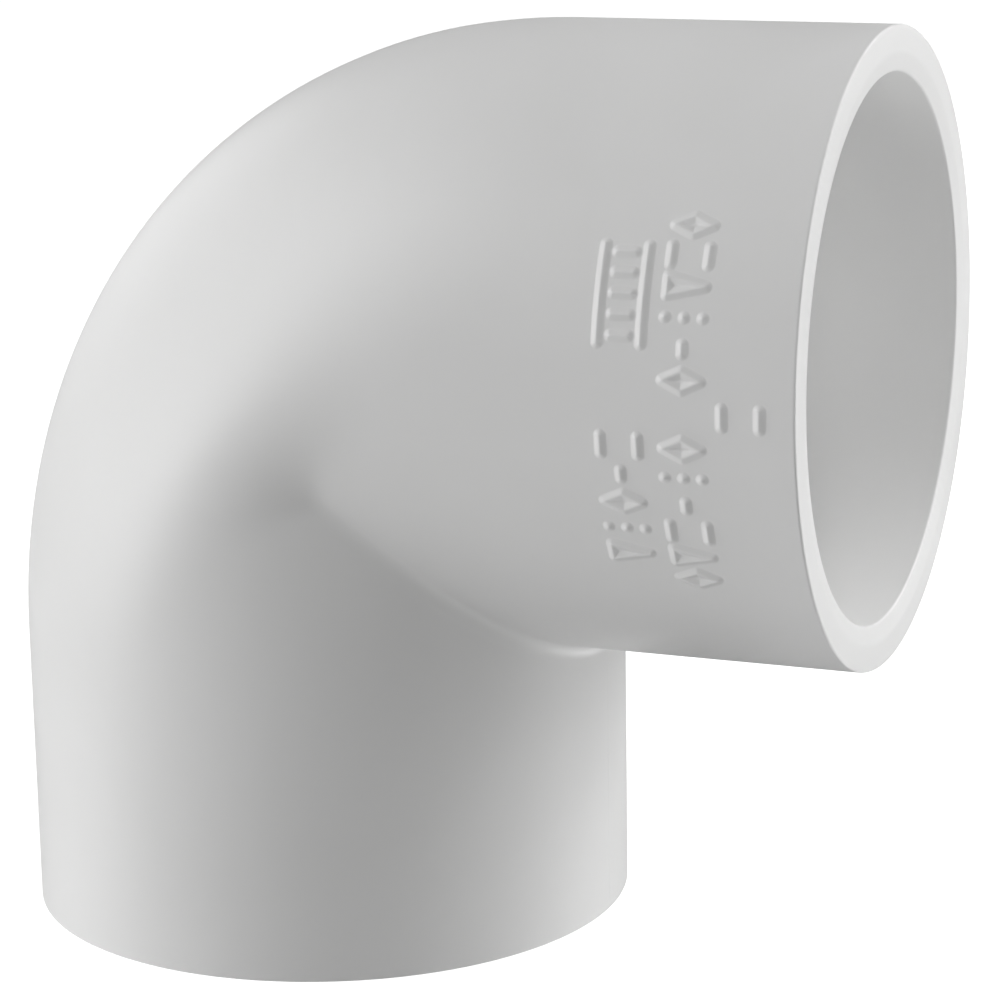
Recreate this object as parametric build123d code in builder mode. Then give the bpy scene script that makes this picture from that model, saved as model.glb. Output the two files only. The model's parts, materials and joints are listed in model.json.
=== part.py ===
from build123d import *
import os
from math import cos, pi, sin, sqrt, tan

# Ninety degree elbow for solvent-welded pressure pipe: one white plastic moulding,
# described here as the zones it is made of, which meet face to face.
# Frame: origin at the centre of the lower mouth, +Z up along the lower socket,
# the other socket runs along +X. Sizes in millimetres.

# sockets
pipe_radius = 30.16         # outside of the pipe that slides in
socket_clearance = 0.04     # radial gap round the pipe, half way down the socket
socket_wall = 5.1
socket_depth = 31.0         # mouth to pipe stop
lead_in_width = 2.1         # bevel inside each mouth, measured across the rim
lead_in_depth = 0.4         # the same bevel, measured along the socket
rim_edge = 0.3              # rounding of the outer edge of each mouth

# bend
stop_ledge = 2.0            # width of the ring that the end of the pipe meets
throat_fillet = 1.8         # inside corner between the two hubs
stop_margin = 0.4           # straight wall between that corner and each pipe stop
back_straight = 6.4         # straight wall between each pipe stop and the rounded back
round_start = -0.38         # where the rounding begins to open: -1 throat, 0 side, 1 back
round_power = 1.15          # how fast it opens from there towards the back
fan_steps = 16              # sections between a socket and the mitre, evenly turned
ring_steps = 24             # points round half a section

# raised marks on the side of the outlet socket
mark_relief = 0.45
mark_stroke = 0.7
mark_height = 4.7           # along the socket
mark_width = 2.6            # round the socket
mark_pitch = 3.2            # round the socket, from one mark to the next
dot_radius = 0.45
dash_length = 1.6
inner_row_inset = 18.9      # from the outlet mouth to the middle of each row
outer_row_inset = 12.1
single_inset = 5.8
row_gap = 4.5               # free stretch between the two halves of the outer row
row_gap_height = -0.9       # middle of that stretch, round the hub from the side, up being positive
panel_climb = 12.1          # from there up to the middle of the ruled panel
panel_length = 10.8         # round the socket
panel_bars = 5
bar_length = 2.6            # along the socket

# sizes that follow from those
socket_radius = pipe_radius + socket_clearance
hub_radius = socket_radius + socket_wall
waterway_radius = socket_radius - stop_ledge
pipe_stop = hub_radius + throat_fillet + stop_margin
centre_to_end = pipe_stop + socket_depth
back_radius = hub_radius + pipe_stop - back_straight
fan_reach = pipe_stop + socket_depth / 2
first_mark = row_gap / 2 + mark_width / 2
mark_seat = sqrt(hub_radius**2 - panel_length**2)   # below the hub's surface along the whole panel

crossing = Vector(0, 0, centre_to_end)
hinge = crossing + Vector(fan_reach, 0, -fan_reach)
lower_stop = Plane(origin=crossing - Vector(0, 0, pipe_stop), z_dir=(0, 0, 1))
inlet_mouth = Plane(origin=(0, 0, 0), x_dir=(1, 0, 0), z_dir=(0, 0, -1))
outlet_mouth = Plane(origin=(centre_to_end, 0, centre_to_end), x_dir=(0, 0, 1), z_dir=(1, 0, 0))
mitre = Plane(origin=crossing, x_dir=(0, 1, 0), z_dir=(1, 0, 1))

os.makedirs("parts", exist_ok=True)


def corner_radius(side, inset):
    """Radius of the corner that one straight strip of the hub turns through.

    side is the strip's place round the hub, -1 at the throat and 1 at the back;
    inset is how far the surface lies inside the outer one.
    """
    share = max(0, (side - round_start) / (1 - round_start))
    opened = sin(share * pi / 2) ** round_power
    return throat_fillet + (back_radius - throat_fillet) * opened - inset * side


def reach(height, corner, fan):
    """Distance from the hinge to a strip, along the fan plane at this angle."""
    run = fan_reach + height
    if run * tan(fan) <= run - corner:
        return run / cos(fan)
    centre = run - corner
    return centre * (cos(fan) + sin(fan)) + sqrt(corner**2 - centre**2 * (1 - sin(2 * fan)))


def half_ring(radius, fan):
    """Points of the bend's section in one fan plane, from the back round one side to the throat."""
    points = []
    for step in range(ring_steps + 1):
        turn = pi * step / ring_steps
        side = cos(turn)
        corner = corner_radius(side, hub_radius - radius)
        points.append((reach(radius * side, corner, fan), radius * sin(turn)))
    return points


def bend_form(radius):
    """Solid of the bend out to this radius, between the two pipe stops.

    Half of each section is lofted from the lower socket to the mitre, and mirrored twice.
    """
    even_steps = [step / ring_steps for step in range(ring_steps + 1)]
    ends = [(0, pi * radius), (0, -pi * radius)]
    with BuildPart() as form:
        for fan_step in range(fan_steps + 1):
            fan = pi / 4 * fan_step / fan_steps
            outwards = Vector(-cos(fan), 0, sin(fan))
            ring = half_ring(radius, fan)
            with BuildSketch(Plane(origin=hinge, x_dir=outwards, z_dir=outwards.cross(Vector(0, 1, 0)))):
                with BuildLine():
                    add(Edge.make_spline(ring, tangents=ends, scale=False, parameters=even_steps))
                    Line(ring[-1], ring[0])
                make_face()
        loft()
        split(bisect_by=lower_stop, keep=Keep.TOP)
        mirror(about=Plane.XZ)
        mirror(about=mitre)
    return form.part


def socket_tube(mouth):
    """Straight socket from its mouth to the pipe stop, with the bevelled rim."""
    half = Plane(origin=mouth.origin, x_dir=mouth.x_dir, z_dir=mouth.y_dir)
    with BuildPart() as tube:
        with BuildSketch(half):
            with BuildLine():
                Polyline(
                    (socket_radius, lead_in_depth),
                    (socket_radius + lead_in_width, 0),
                    (hub_radius, 0),
                    (hub_radius, socket_depth),
                    (socket_radius, socket_depth),
                    close=True,
                )
            make_face()
        revolve(axis=Axis(mouth.origin, mouth.z_dir))
        outer_edges = tube.edges().filter_by(GeomType.CIRCLE).group_by(SortBy.RADIUS)[-1]
        fillet(outer_edges.sort_by(Axis(mouth.origin, mouth.z_dir))[-1], rim_edge)
    return tube.part


def on_hub(inset, climb):
    """Plane under the skin of the outlet socket: inset from its mouth, climb round it from the side."""
    angle = climb / hub_radius
    facing = Vector(0, -cos(angle), sin(angle))
    along = Vector(1, 0, 0)
    return Plane(
        origin=outlet_mouth.origin - along * inset + facing * mark_seat,
        x_dir=along,
        z_dir=facing,
    )


def diamond():
    with BuildSketch() as mark:
        with BuildLine():
            Polyline(
                (mark_height / 2, 0),
                (0, mark_width / 2),
                (-mark_height / 2, 0),
                (0, -mark_width / 2),
                close=True,
            )
        make_face()
        offset(amount=-mark_stroke, kind=Kind.INTERSECTION, mode=Mode.SUBTRACT)
    return mark.sketch


def triangle():
    with BuildSketch() as mark:
        with BuildLine():
            Polyline(
                (-mark_height / 2, -mark_width / 2),
                (mark_height / 2, 0),
                (-mark_height / 2, mark_width / 2),
                close=True,
            )
        make_face()
        offset(amount=-mark_stroke, kind=Kind.INTERSECTION, mode=Mode.SUBTRACT)
    return mark.sketch


def dots():
    with BuildSketch() as mark:
        with GridLocations((mark_height - mark_stroke) / 2, 0, 3, 1):
            Circle(dot_radius)
    return mark.sketch


def pair():
    with BuildSketch() as mark:
        with GridLocations(mark_height - mark_stroke, 0, 2, 1):
            SlotOverall(mark_width, mark_stroke, rotation=90)
    return mark.sketch


def dash():
    with BuildSketch() as mark:
        SlotOverall(dash_length, mark_stroke, rotation=90)
    return mark.sketch


def panel():
    """Two long rules with short bars between them."""
    with BuildSketch() as mark:
        with GridLocations(mark_height, 0, 2, 1):
            SlotOverall(panel_length, mark_stroke, rotation=90)
        with GridLocations(0, panel_length / panel_bars, 1, panel_bars):
            SlotOverall(bar_length, mark_stroke)
    return mark.sketch


def row(outlines, inset, way):
    """Places for a row of marks one pitch apart, going up (way 1) or down (way -1) from the gap."""
    first = row_gap_height + way * first_mark
    return [(outline, inset, first + way * place * mark_pitch) for place, outline in enumerate(outlines)]


def raised_marks(marks):
    """Marks standing on the hub: a list of (outline, inset from the mouth, climb from the side)."""
    with BuildPart() as relief:
        for outline, inset, climb in marks:
            with BuildSketch(on_hub(inset, climb)):
                add(outline())
            extrude(amount=hub_radius + 2 * mark_relief - mark_seat)
        add(mark_skin.part, mode=Mode.INTERSECT)
    return relief.part


# the bend: the outer form less the waterway, ending in the two flat rings that stop the pipes
outer_form = bend_form(hub_radius)
waterway_form = bend_form(waterway_radius)
with BuildPart() as bend:
    add(outer_form)
    add(waterway_form, mode=Mode.SUBTRACT)
bend.part.label = "bend"
export_step(bend.part, "parts/bend.step")

# the two sockets, the same tube at each mouth
with BuildPart() as inlet_socket:
    add(socket_tube(inlet_mouth))
inlet_socket.part.label = "inlet_socket"
export_step(inlet_socket.part, "parts/inlet_socket.step")

with BuildPart() as outlet_socket:
    add(socket_tube(outlet_mouth))
outlet_socket.part.label = "outlet_socket"
export_step(outlet_socket.part, "parts/outlet_socket.step")

# the skin that the raised marks are cut from, one relief thick all round the outlet socket
with BuildPart() as mark_skin:
    with BuildSketch(outlet_mouth):
        Circle(hub_radius + mark_relief)
        Circle(hub_radius, mode=Mode.SUBTRACT)
    extrude(amount=-socket_depth)

# two rows of marks, a ruled panel above the shorter row, and one mark by itself
outer_upper = row((diamond, dash, dots, triangle, pair, diamond), outer_row_inset, 1)
outer_lower = row((diamond, dots, dash, pair, triangle, diamond), outer_row_inset, -1)
with BuildPart() as marks_outer_row:
    add(raised_marks(outer_upper + outer_lower))
marks_outer_row.part.label = "marks_outer_row"
export_step(marks_outer_row.part, "parts/marks_outer_row.step")

inner_lower = row((pair, dash, diamond, dots, triangle), inner_row_inset, -1)
with BuildPart() as marks_inner_row:
    add(raised_marks(inner_lower))
marks_inner_row.part.label = "marks_inner_row"
export_step(marks_inner_row.part, "parts/marks_inner_row.step")

with BuildPart() as marks_panel:
    add(raised_marks([(panel, inner_row_inset, row_gap_height + panel_climb)]))
marks_panel.part.label = "marks_panel"
export_step(marks_panel.part, "parts/marks_panel.step")

with BuildPart() as mark_single:
    add(raised_marks([(pair, single_inset, row_gap_height)]))
mark_single.part.label = "mark_single"
export_step(mark_single.part, "parts/mark_single.step")
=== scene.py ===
import bpy
import numpy as np
import json
import math
from mathutils import Matrix, Vector


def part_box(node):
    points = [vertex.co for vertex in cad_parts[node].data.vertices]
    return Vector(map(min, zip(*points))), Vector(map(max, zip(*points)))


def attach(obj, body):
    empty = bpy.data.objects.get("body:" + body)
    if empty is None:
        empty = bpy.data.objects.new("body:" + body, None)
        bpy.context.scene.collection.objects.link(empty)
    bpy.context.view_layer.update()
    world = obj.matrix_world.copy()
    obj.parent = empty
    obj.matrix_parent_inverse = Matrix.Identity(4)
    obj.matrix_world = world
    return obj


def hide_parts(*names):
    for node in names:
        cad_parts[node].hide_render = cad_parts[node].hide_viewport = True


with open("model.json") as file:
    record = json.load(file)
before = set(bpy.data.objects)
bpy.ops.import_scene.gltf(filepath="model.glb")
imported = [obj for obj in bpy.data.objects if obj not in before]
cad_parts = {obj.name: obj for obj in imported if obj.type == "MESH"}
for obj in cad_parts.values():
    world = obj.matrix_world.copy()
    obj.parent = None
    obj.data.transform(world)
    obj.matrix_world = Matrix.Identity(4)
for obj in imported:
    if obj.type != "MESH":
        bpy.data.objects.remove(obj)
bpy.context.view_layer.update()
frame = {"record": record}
scene = bpy.context.scene

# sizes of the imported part, in millimetres like every value below
mm = 0.001
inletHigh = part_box("inlet_socket")[1]
outletLow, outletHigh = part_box("outlet_socket")
mounts = {mount["name"]: mount for mount in frame["record"]["mounts"]}
hubRadius = inletHigh.x / mm
centreToEnd = outletHigh.x / mm         # crossing of the two axes to either mouth
pipeStop = outletLow.x / mm             # crossing to the end of either pipe
socketRadius = mounts["outlet_socket"]["dims"]["r_mm"]


# ---- helpers

def smoothStep(x, low, high):
    # 0 below low, 1 above high, three t squared less two t cubed between them
    t = np.clip((x - low) / (high - low), 0, 1)
    return t * t * (3 - 2 * t)


def makeMesh(name, points, quads, materials, quadMaterial=None):
    # points in millimetres from the crossing of the axes, quads as rows of four point numbers
    mesh = bpy.data.meshes.new(name)
    place = (points + np.array([0, 0, centreToEnd])) * mm
    mesh.vertices.add(len(place))
    mesh.vertices.foreach_set("co", place.astype(np.float32).ravel())
    mesh.loops.add(quads.size)
    mesh.loops.foreach_set("vertex_index", quads.astype(np.int32).ravel())
    mesh.polygons.add(len(quads))
    mesh.polygons.foreach_set("loop_start", np.arange(0, quads.size, 4, dtype=np.int32))
    mesh.update(calc_edges=True)
    mesh.polygons.foreach_set("use_smooth", np.ones(len(quads), bool))
    for material in materials:
        mesh.materials.append(material)
    if quadMaterial is not None:
        mesh.polygons.foreach_set("material_index", quadMaterial.astype(np.int32))
    piece = bpy.data.objects.new(name, mesh)
    scene.collection.objects.link(piece)
    return piece


def finishPiece(piece, nodes):
    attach(piece, "root")
    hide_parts(*nodes)


# ---- camera

cameraValues = dict(
    aim=(22.245, 0.0, -20.176),         # from the crossing of the axes
    azimuth=22.088, elevation=13.406, roll=-0.96,
    distance=390.5, lens=121.775, sensor=36, nearest=10)


def buildCamera(v):
    azimuth, elevation = math.radians(v["azimuth"]), math.radians(v["elevation"])
    back = Vector((math.sin(azimuth) * math.cos(elevation),
                   -math.cos(azimuth) * math.cos(elevation),
                   math.sin(elevation)))
    target = (Vector(v["aim"]) + Vector((0, 0, centreToEnd))) * mm
    camera = bpy.data.objects.new("camera", bpy.data.cameras.new("camera"))
    scene.collection.objects.link(camera)
    camera.location = target + back * v["distance"] * mm
    roll = Matrix.Rotation(math.radians(v["roll"]), 3, "Z")
    camera.rotation_euler = (back.to_track_quat("Z", "Y").to_matrix() @ roll).to_euler()
    camera.data.lens = v["lens"]
    camera.data.sensor_width = v["sensor"]
    camera.data.clip_start = v["nearest"] * mm
    scene.camera = camera


buildCamera(cameraValues)
print("camera set")


# ---- lights and the pale stage

lightValues = dict(
    middle=(10, 0, centreToEnd / 2),
    reach=900,                          # from there to each lamp
    width=420,                          # of each square lamp
    lamps=dict(                         # azimuth, elevation, power in watts
        leftFront=(-60, 5, 3.4),
        leftFrontHigh=(-60, 35, 2.5),
        leftSide=(-90, 5, 0.5),
        leftHigh=(-90, 35, 0.5),
        leftUnder=(-90, -45, 3.0),
        leftBack=(-120, 20, 1.1),
        front=(30, 5, 2.5),
        under=(0, -80, 1.5),
        right=(100, 20, 1.1),
        rightBack=(120, 5, 2.3),
        rightHigh=(120, 35, 2.4),
        rightTop=(120, 65, 1.4),
        rightUnder=(120, -30, 0.6),
        back=(150, 35, 1.6),
        backUnder=(150, -45, 2.5)),
    sky=0.01)


def buildLights(v):
    for name, (azimuth, elevation, power) in v["lamps"].items():
        a, e = math.radians(azimuth), math.radians(elevation)
        back = Vector((math.sin(a) * math.cos(e), -math.cos(a) * math.cos(e), math.sin(e)))
        lamp = bpy.data.lights.new(name, "AREA")
        lamp.size = v["width"] * mm
        lamp.energy = power
        holder = bpy.data.objects.new(name, lamp)
        holder.location = (Vector(v["middle"]) + back * v["reach"]) * mm
        holder.rotation_euler = back.to_track_quat("Z", "Y").to_euler()
        holder.visible_camera = False
        scene.collection.objects.link(holder)
    world = bpy.data.worlds.new("studio")
    world.use_nodes = True
    sky = world.node_tree.nodes["Background"]
    sky.inputs["Color"].default_value = (1, 1, 1, 1)
    sky.inputs["Strength"].default_value = v["sky"]
    scene.world = world


stageValues = dict(
    innerRadius=1, floorRadius=4000, sweepRadius=1500, wallHeight=2500,
    sweepSteps=16, ringLines=96,
    albedo=0.45, roughness=0.9, specular=0.1, glow=1.0)


def buildStage(v):
    # a round floor that turns up into a wall: a profile of floor, quarter circle and wall,
    # carried round the vertical axis
    turn = np.linspace(0, np.pi / 2, v["sweepSteps"] + 1)
    reach = np.concatenate([[v["innerRadius"]],
                            v["floorRadius"] + v["sweepRadius"] * np.sin(turn),
                            [v["floorRadius"] + v["sweepRadius"]]])
    rise = np.concatenate([[0], v["sweepRadius"] * (1 - np.cos(turn)), [v["wallHeight"]]])
    around = np.linspace(0, 2 * np.pi, v["ringLines"] + 1)[:-1, None]
    points = np.stack([reach * np.cos(around), reach * np.sin(around),
                       rise - centreToEnd + 0 * around], -1)
    lines, stations = points.shape[:2]
    index = np.arange(lines * stations).reshape(lines, stations)
    beside = np.roll(index, -1, 0)
    quads = np.stack([index[:, :-1], index[:, 1:], beside[:, 1:], beside[:, :-1]], -1)
    paper = bpy.data.materials.new("stagePaper")
    paper.use_nodes = True
    shader = paper.node_tree.nodes["Principled BSDF"]
    shader.inputs["Base Color"].default_value = (v["albedo"],) * 3 + (1,)
    shader.inputs["Roughness"].default_value = v["roughness"]
    shader.inputs["Specular IOR Level"].default_value = v["specular"]
    shader.inputs["Emission Color"].default_value = (1, 1, 1, 1)
    shader.inputs["Emission Strength"].default_value = v["glow"]
    stage = makeMesh("stage", points.reshape(-1, 3), quads.reshape(-1, 4), [paper])
    stage.visible_diffuse = False       # the part is lit by the lamps and the sky alone
    stage.visible_glossy = False
    stage.visible_shadow = False        # so that the lamp under the floor reaches it too


buildLights(lightValues)
buildStage(stageValues)
scene.view_settings.view_transform = "Standard"
print("lights and stage set")


# ---- white plastic

def addNode(tree, kind, place, **inputs):
    node = tree.nodes.new(kind)
    node.location = place
    for name, value in inputs.items():
        node.inputs[name.replace("_", " ")].default_value = value
    return node


def newGroup(name, sockets):
    group = bpy.data.node_groups.new(name, "ShaderNodeTree")
    for way, kind, label, value in sockets:
        socket = group.interface.new_socket(label, in_out=way, socket_type="NodeSocket" + kind)
        if value is not None:
            socket.default_value = value
    return group, group.nodes.new("NodeGroupInput"), group.nodes.new("NodeGroupOutput")


def grainGroup():
    # skin of the mould: a fine spark texture over a much wider, lower waviness
    group, start, end = newGroup("mouldGrain", [
        ("INPUT", "Vector", "Position", None),
        ("INPUT", "Float", "Fine Scale", 2600.0),
        ("INPUT", "Float", "Wide Scale", 130.0),
        ("INPUT", "Float", "Wide Share", 0.6),
        ("OUTPUT", "Float", "Height", None)])
    fine = addNode(group, "ShaderNodeTexNoise", (-400, 150), Detail=3.0, Roughness=0.6)
    wide = addNode(group, "ShaderNodeTexNoise", (-400, -150), Detail=2.0, Roughness=0.45)
    blend = addNode(group, "ShaderNodeMix", (-100, 0))
    link = group.links.new
    link(start.outputs["Position"], fine.inputs["Vector"])
    link(start.outputs["Position"], wide.inputs["Vector"])
    link(start.outputs["Fine Scale"], fine.inputs["Scale"])
    link(start.outputs["Wide Scale"], wide.inputs["Scale"])
    link(start.outputs["Wide Share"], blend.inputs["Factor"])
    link(fine.outputs["Fac"], blend.inputs["A"])
    link(wide.outputs["Fac"], blend.inputs["B"])
    link(blend.outputs["Result"], end.inputs["Height"])
    return group


def mottleGroup():
    # colour and shine drift slightly where the melt flowed and cooled
    group, start, end = newGroup("flowMottle", [
        ("INPUT", "Vector", "Position", None),
        ("INPUT", "Float", "Scale", 28.0),
        ("INPUT", "Color", "Light Tone", None),
        ("INPUT", "Color", "Dark Tone", None),
        ("INPUT", "Float", "Least Roughness", 0.42),
        ("INPUT", "Float", "Most Roughness", 0.52),
        ("OUTPUT", "Color", "Color", None),
        ("OUTPUT", "Float", "Roughness", None)])
    drift = addNode(group, "ShaderNodeTexNoise", (-500, 0),
                    Detail=4.0, Roughness=0.55, Distortion=0.6)
    spread = addNode(group, "ShaderNodeMapRange", (-300, 0), From_Min=0.3, From_Max=0.7)
    tone = group.nodes.new("ShaderNodeMix")
    tone.data_type = "RGBA"
    tone.location = (-50, 150)
    shine = addNode(group, "ShaderNodeMapRange", (-50, -150))
    link = group.links.new
    link(start.outputs["Position"], drift.inputs["Vector"])
    link(start.outputs["Scale"], drift.inputs["Scale"])
    link(drift.outputs["Fac"], spread.inputs["Value"])
    link(spread.outputs["Result"], tone.inputs["Factor"])
    link(start.outputs["Dark Tone"], tone.inputs["A"])
    link(start.outputs["Light Tone"], tone.inputs["B"])
    link(spread.outputs["Result"], shine.inputs["Value"])
    link(start.outputs["Least Roughness"], shine.inputs["To Min"])
    link(start.outputs["Most Roughness"], shine.inputs["To Max"])
    link(tone.outputs["Result"], end.inputs["Color"])
    link(shine.outputs["Result"], end.inputs["Roughness"])
    return group


def dragGroup():
    # streaks that the core leaves as it is drawn out: noise stretched along the draw
    group, start, end = newGroup("coreDrag", [
        ("INPUT", "Vector", "Position", None),
        ("INPUT", "Vector", "Stretch", None),
        ("INPUT", "Float", "Scale", 900.0),
        ("OUTPUT", "Float", "Height", None)])
    stretched = group.nodes.new("ShaderNodeVectorMath")
    stretched.operation = "MULTIPLY"
    stretched.location = (-450, 0)
    streaks = addNode(group, "ShaderNodeTexNoise", (-250, 0), Detail=2.0, Roughness=0.5)
    link = group.links.new
    link(start.outputs["Position"], stretched.inputs[0])
    link(start.outputs["Stretch"], stretched.inputs[1])
    link(stretched.outputs["Vector"], streaks.inputs["Vector"])
    link(start.outputs["Scale"], streaks.inputs["Scale"])
    link(streaks.outputs["Fac"], end.inputs["Height"])
    return group


plasticValues = dict(
    lightTone=(0.815, 0.815, 0.812, 1), darkTone=(0.790, 0.790, 0.786, 1),
    specular=0.42, ior=1.53,
    grainDepth=0.012, grainStrength=0.5, dragDepth=0.006)

groups = dict(grain=grainGroup(), mottle=mottleGroup(), drag=dragGroup())


def useGroup(tree, group, place, **inputs):
    node = tree.nodes.new("ShaderNodeGroup")
    node.node_tree = groups[group]
    node.location = place
    for name, value in inputs.items():
        node.inputs[name.replace("_", " ")].default_value = value
    return node


def whitePlastic(name, v, drawAxis=None):
    # the moulded skin, or with a draw axis the wall that a core was pulled along
    material = bpy.data.materials.new(name)
    material.use_nodes = True
    tree = material.node_tree
    link = tree.links.new
    shader = tree.nodes["Principled BSDF"]
    shader.inputs["IOR"].default_value = v["ior"]
    shader.inputs["Specular IOR Level"].default_value = v["specular"]
    place = tree.nodes.new("ShaderNodeTexCoord")
    place.location = (-1100, 0)
    mottle = useGroup(tree, "mottle", (-700, 200),
                      Light_Tone=v["lightTone"], Dark_Tone=v["darkTone"])
    grain = useGroup(tree, "grain", (-700, -100))
    bump = addNode(tree, "ShaderNodeBump", (-300, -100),
                   Strength=v["grainStrength"], Distance=v["grainDepth"] * mm)
    link(place.outputs["Object"], mottle.inputs["Position"])
    link(place.outputs["Object"], grain.inputs["Position"])
    link(mottle.outputs["Color"], shader.inputs["Base Color"])
    link(mottle.outputs["Roughness"], shader.inputs["Roughness"])
    link(grain.outputs["Height"], bump.inputs["Height"])
    link(bump.outputs["Normal"], shader.inputs["Normal"])
    if drawAxis:
        drag = useGroup(tree, "drag", (-700, -400), Stretch=drawAxis)
        dragBump = addNode(tree, "ShaderNodeBump", (-500, -300),
                           Strength=1.0, Distance=v["dragDepth"] * mm)
        link(place.outputs["Object"], drag.inputs["Position"])
        link(drag.outputs["Height"], dragBump.inputs["Height"])
        link(dragBump.outputs["Normal"], bump.inputs["Normal"])
    return material


skinPlastic = whitePlastic("pvcSkin", plasticValues)
inletPlastic = whitePlastic("pvcInletBore", plasticValues, drawAxis=(1, 1, 0.02))
outletPlastic = whitePlastic("pvcOutletBore", plasticValues, drawAxis=(0.02, 1, 1))
print("materials made")


# ---- shell: skin, rims, sockets, pipe stops and waterway as one closed surface

shellValues = dict(
    throatFillet=1.8, backStraight=6.4, roundStart=-0.38, roundPower=1.15, stopLedge=2.0,
    leadInWidth=2.1, leadInDepth=0.4,
    rimEdge=0.3, bevelEdge=0.25, stopEdge=0.15, ledgeEdge=0.2, edgeSteps=5,
    rimHold=0.08, stopHold=0.04,        # how close a holding line lies to each rounded edge
    skinOverlap=1.2, skinGap=0.2,       # mouth profile up the skin, and from there to the bend
    boreFirst=3, boreLast=2, boreLines=7,
    wayOverlap=0.32, wayGap=0.04,       # mouth profile into the waterway, and to the bend
    finishFrom=1,                       # depth in the mouth where the wall of the core begins
    partingHeight=0.05, partingWidth=0.2,
    ringLines=400, ringCrowding=0.85, skinStations=18, skinArc=56, waterStations=5, waterArc=38)


def cornerRadius(side, inset, v):
    # radius of the corner that one straight strip of the hub turns through; side is its
    # place round the hub, -1 at the throat and 1 at the back
    share = np.clip((side - v["roundStart"]) / (1 - v["roundStart"]), 0, 1)
    backRadius = hubRadius + pipeStop - v["backStraight"]
    opened = np.sin(share * np.pi / 2) ** v["roundPower"]
    return v["throatFillet"] + (backRadius - v["throatFillet"]) * opened - inset * side


def bendStrips(turn, radius, end, v, stations, arcStations):
    # for every angle round the hub: straight up at x = -height, a quarter circle, straight
    # out at z = height; end is the distance of both ends from the crossing. In the waterway,
    # where side is 0.5 to 0.73, the corner starts up to 0.6 mm beyond the end, so that the
    # straight run folds back over the ledge of the pipe stop
    side = np.cos(turn)[:, None]
    radius = np.broadcast_to(radius, turn.shape)[:, None]
    height = radius * side
    corner = cornerRadius(side, hubRadius - radius, v)
    along = np.linspace(0, 1, stations)
    run = -end + (height - corner + end) * along
    arc = np.linspace(0, np.pi / 2, arcStations + 2)[1:-1]
    x = np.concatenate([-height + 0 * run, -height + corner * (1 - np.cos(arc)), -run[:, ::-1]], 1)
    z = np.concatenate([run, height - corner * (1 - np.sin(arc)), height + 0 * run], 1)
    y = (radius * np.sin(turn)[:, None]) + 0 * x
    return np.stack([x, y, z], -1)


def roundedPath(corners, gap, edgeSteps):
    # a polyline with each corner replaced by a parabola that is tangent to both of its runs,
    # and a holding point a little before and after it
    places = [np.array(corner[:2], float) for corner in corners]
    steps = np.linspace(0, 1, edgeSteps + 1)[:, None]
    path = [places[0][None]]
    roundings = [corner[2] for corner in corners[1:-1]]
    for before, here, after, rounding in zip(places, places[1:], places[2:], roundings):
        back = (before - here) / np.linalg.norm(before - here)
        on = (after - here) / np.linalg.norm(after - here)
        start, stop = here + back * rounding, here + on * rounding
        curve = (1 - steps) ** 2 * start + 2 * steps * (1 - steps) * here + steps ** 2 * stop
        path += [(start + back * gap)[None], curve, (stop + on * gap)[None]]
    return np.concatenate(path + [places[-1][None]])


def mouthProfile(v):
    # radius and depth from the mouth, from the skin over the rim and down to the waterway
    way = socketRadius - v["stopLedge"]
    stop = centreToEnd - pipeStop
    lead = v["leadInWidth"]
    boreEnd = stop - v["boreLast"]
    fromEdge = roundedPath([(hubRadius, v["skinOverlap"], 0), (hubRadius, 0, v["rimEdge"]),
                            (socketRadius + lead, 0, v["bevelEdge"]),
                            (socketRadius, v["leadInDepth"], v["bevelEdge"]),
                            (socketRadius, v["boreFirst"], 0)], v["rimHold"], v["edgeSteps"])
    bore = np.stack([np.full(v["boreLines"], socketRadius),
                     np.linspace(v["boreFirst"], boreEnd, v["boreLines"] + 2)[1:-1]], -1)
    toWater = roundedPath([(socketRadius, boreEnd, 0), (socketRadius, stop, v["stopEdge"]),
                           (way, stop, v["ledgeEdge"]), (way, stop + v["wayOverlap"], 0)],
                          v["stopHold"], v["edgeSteps"])
    return np.concatenate([fromEdge, bore, toWater])


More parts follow.
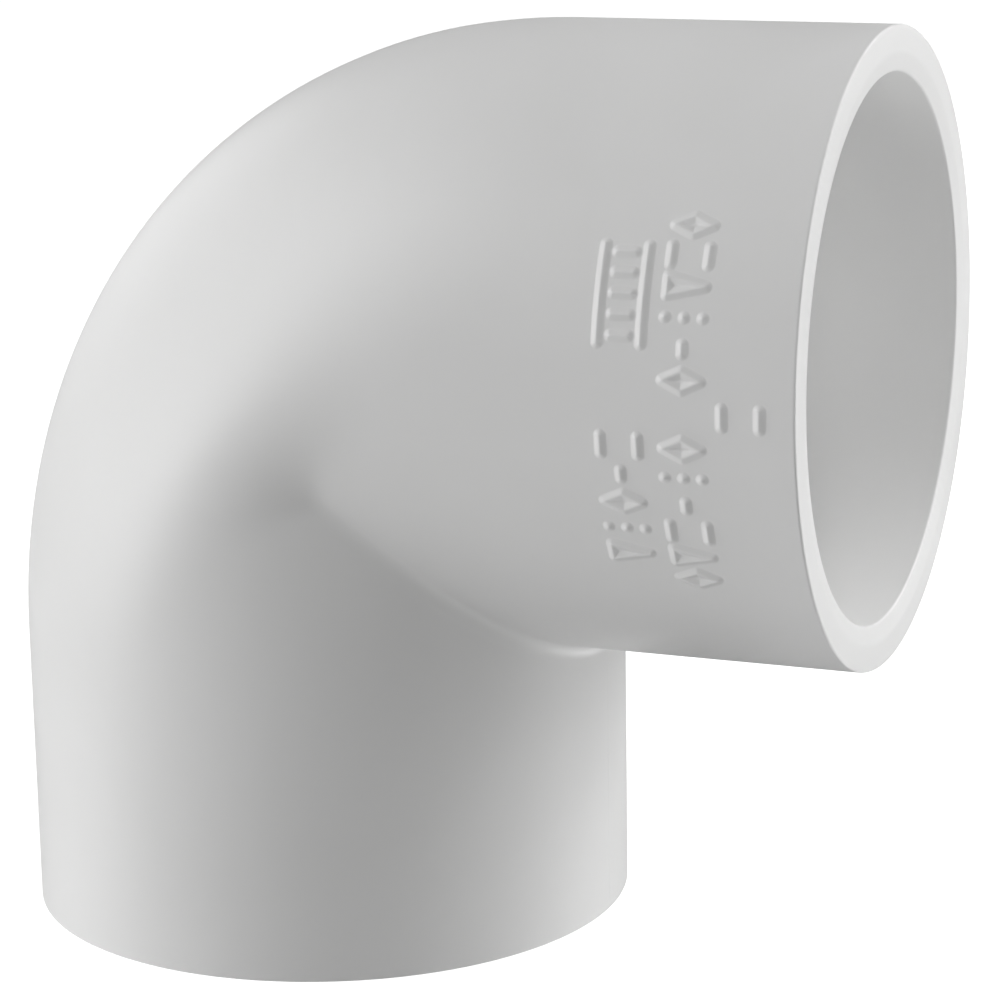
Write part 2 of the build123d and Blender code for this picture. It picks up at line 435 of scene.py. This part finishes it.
def buildShell(v):
    even = np.arange(v["ringLines"]) / v["ringLines"] * 2 * np.pi
    turn = even - v["ringCrowding"] / 2 * np.sin(2 * even)     # crowded at the parting line
    offMould = hubRadius * np.sin(turn)
    ridge = v["partingHeight"] * np.exp(-(offMould / v["partingWidth"]) ** 2)
    mouth = mouthProfile(v)
    way = socketRadius - v["stopLedge"]
    skinEnd = centreToEnd - v["skinOverlap"] - v["skinGap"]
    waterEnd = pipeStop - v["wayOverlap"] - v["wayGap"]
    skin = bendStrips(turn, hubRadius + ridge, skinEnd, v, v["skinStations"], v["skinArc"])
    water = bendStrips(turn, way, waterEnd, v, v["waterStations"], v["waterArc"])
    r, depth = mouth[:, 0], mouth[:, 1]
    cosine, sine = np.cos(turn)[:, None], np.sin(turn)[:, None]
    still = 0 * cosine
    outlet = np.stack([centreToEnd - depth + still, r * sine, r * cosine], -1)
    inlet = np.stack([-r * cosine, r * sine, depth - centreToEnd + still], -1)
    loop = np.concatenate([skin, outlet, water[:, ::-1], inlet[:, ::-1]], 1)
    lines, stations = loop.shape[:2]
    index = np.arange(lines * stations).reshape(lines, stations)
    beside = np.roll(index, -1, 0)
    quads = np.stack([index, beside, np.roll(beside, -1, 1), np.roll(index, -1, 1)], -1)
    # the walls that the two cores made: beyond the bevels and as far as the mitre
    inOutlet = skin.shape[1] + np.arange(len(mouth))
    inWater = skin.shape[1] + len(mouth) + np.arange(water.shape[1])
    inInlet = inWater[-1] + 1 + np.arange(len(mouth))
    finish = np.zeros((lines, stations))
    finish[:, inOutlet[mouth[:, 1] > v["finishFrom"]]] = 2
    finish[:, inWater[:water.shape[1] // 2]] = 2
    finish[:, inWater[water.shape[1] // 2:]] = 1
    finish[:, inInlet[mouth[::-1, 1] > v["finishFrom"]]] = 1
    finish[:, :skin.shape[1] + 1] = 0
    finish[:, -1] = 0
    shell = makeMesh("elbowShell", loop.reshape(-1, 3), quads.reshape(-1, 4),
                     [skinPlastic, inletPlastic, outletPlastic], finish.reshape(-1))
    finishPiece(shell, ["bend", "inlet_socket", "outlet_socket"])
    return shell


buildShell(shellValues)
print("shell built")


# ---- raised marks: ribs that swell out of the side of the outlet socket

markValues = dict(
    height=4.7, width=2.6, pitch=3.2, stroke=0.68, relief=0.32, softness=0.48,
    dashLength=1.6,
    innerInset=18.9, outerInset=12.1, singleInset=5.8,      # from the outlet mouth
    rowGap=4.5, gapHeight=-0.9,
    panelClimb=12.1, panelLength=10.8, panelBars=5, barLength=2.6,
    margin=0.9, cell=0.11, sink=0.012, root=0.35)


def outline(*corners):
    # one rib from each corner to the next, and back to the first
    return [(*a, *b) for a, b in zip(corners, corners[1:] + corners[:1])]


def markRibs(v):
    # each mark as ribs (x, y, x, y) between the middles of their round ends, x along the socket
    halfHeight, halfWidth = (v["height"] - v["stroke"]) / 2, (v["width"] - v["stroke"]) / 2
    halfDash = (v["dashLength"] - v["stroke"]) / 2
    halfRule = (v["panelLength"] - v["stroke"]) / 2
    halfBar = (v["barLength"] - v["stroke"]) / 2
    step = v["panelLength"] / v["panelBars"]
    bars = [(-halfBar, (place - (v["panelBars"] - 1) / 2) * step)
            for place in range(v["panelBars"])]
    return dict(
        diamond=outline((halfHeight, 0), (0, halfWidth), (-halfHeight, 0), (0, -halfWidth)),
        triangle=outline((-halfHeight, -halfWidth), (halfHeight, 0), (-halfHeight, halfWidth)),
        dots=[(x, 0, x, 0) for x in (-halfHeight, 0, halfHeight)],
        pair=[(x, -halfWidth, x, halfWidth) for x in (-halfHeight, halfHeight)],
        dash=[(0, -halfDash, 0, halfDash)],
        panel=[(x, -halfRule, x, halfRule) for x in (-v["height"] / 2, v["height"] / 2)]
        + [(x, y, -x, y) for x, y in bars])


def ribDistance(x, y, ribs):
    # distance of every grid point from the nearest rib's middle line
    gaps = []
    for x0, y0, x1, y1 in ribs:
        length = max((x1 - x0) ** 2 + (y1 - y0) ** 2, 1e-9)
        t = np.clip(((x - x0) * (x1 - x0) + (y - y0) * (y1 - y0)) / length, 0, 1)
        gaps.append(np.hypot(x - x0 - t * (x1 - x0), y - y0 - t * (y1 - y0)))
    return np.min(gaps, 0)


def markPatch(ribs, inset, climb, v):
    # a thin curved pad just inside the hub that rises over each rib: a grid over the mark,
    # its top at radius hub + relief * soft profile - sink, its underside one root inside
    reachX = max(abs(x) for rib in ribs for x in rib[::2]) + v["stroke"] / 2 + v["margin"]
    reachY = max(abs(y) for rib in ribs for y in rib[1::2]) + v["stroke"] / 2 + v["margin"]
    x = np.linspace(-reachX, reachX, int(2 * reachX / v["cell"]))[:, None]
    y = np.linspace(-reachY, reachY, int(2 * reachY / v["cell"]))[None]
    gap = ribDistance(x, y, ribs) - v["stroke"] / 2
    swell = v["relief"] * (1 - smoothStep(gap, -v["softness"], v["softness"]))
    angle = (climb + y) / hubRadius + 0 * x
    layers = []
    for radius in (hubRadius - v["sink"] + swell, hubRadius - v["root"] + 0 * swell):
        layers.append(np.stack([centreToEnd - inset + x + 0 * angle,
                                -radius * np.cos(angle), radius * np.sin(angle)], -1))
    rows, columns = gap.shape
    index = np.arange(rows * columns).reshape(rows, columns)
    top = np.stack([index[:-1, :-1], index[1:, :-1], index[1:, 1:], index[:-1, 1:]], -1)
    top = top.reshape(-1, 4)
    border = np.concatenate([index[:-1, 0], index[-1, :-1], index[:0:-1, -1], index[0, :0:-1]])
    ahead = np.roll(border, -1)
    below = rows * columns
    wall = np.stack([ahead, border, border + below, ahead + below], -1)
    quads = np.concatenate([top, top[:, ::-1] + below, wall])
    return np.concatenate([layer.reshape(-1, 3) for layer in layers]), quads


def markRow(names, inset, way, v):
    # marks one pitch apart, upwards or downwards from the gap in the middle of the row
    first = v["gapHeight"] + way * (v["rowGap"] + v["width"]) / 2
    return [(name, inset, first + way * place * v["pitch"]) for place, name in enumerate(names)]


def buildMarks(pieceName, node, marks, v):
    ribs = markRibs(v)
    points, quads, count = [], [], 0
    for name, inset, climb in marks:
        patch, faces = markPatch(ribs[name], inset, climb, v)
        points.append(patch)
        quads.append(faces + count)
        count += len(patch)
    piece = makeMesh(pieceName, np.concatenate(points), np.concatenate(quads), [skinPlastic])
    finishPiece(piece, [node])


def buildAllMarks(v):
    upper = markRow(["diamond", "dash", "dots", "triangle", "pair", "diamond"],
                    v["outerInset"], 1, v)
    lower = markRow(["diamond", "dots", "dash", "pair", "triangle", "diamond"],
                    v["outerInset"], -1, v)
    inner = markRow(["pair", "dash", "diamond", "dots", "triangle"], v["innerInset"], -1, v)
    buildMarks("outerRowMarks", "marks_outer_row", upper + lower, v)
    buildMarks("innerRowMarks", "marks_inner_row", inner, v)
    buildMarks("ruledPanelMark", "marks_panel",
               [("panel", v["innerInset"], v["gapHeight"] + v["panelClimb"])], v)
    buildMarks("singleMark", "mark_single", [("pair", v["singleInset"], v["gapHeight"])], v)


buildAllMarks(markValues)
print("raised marks built")
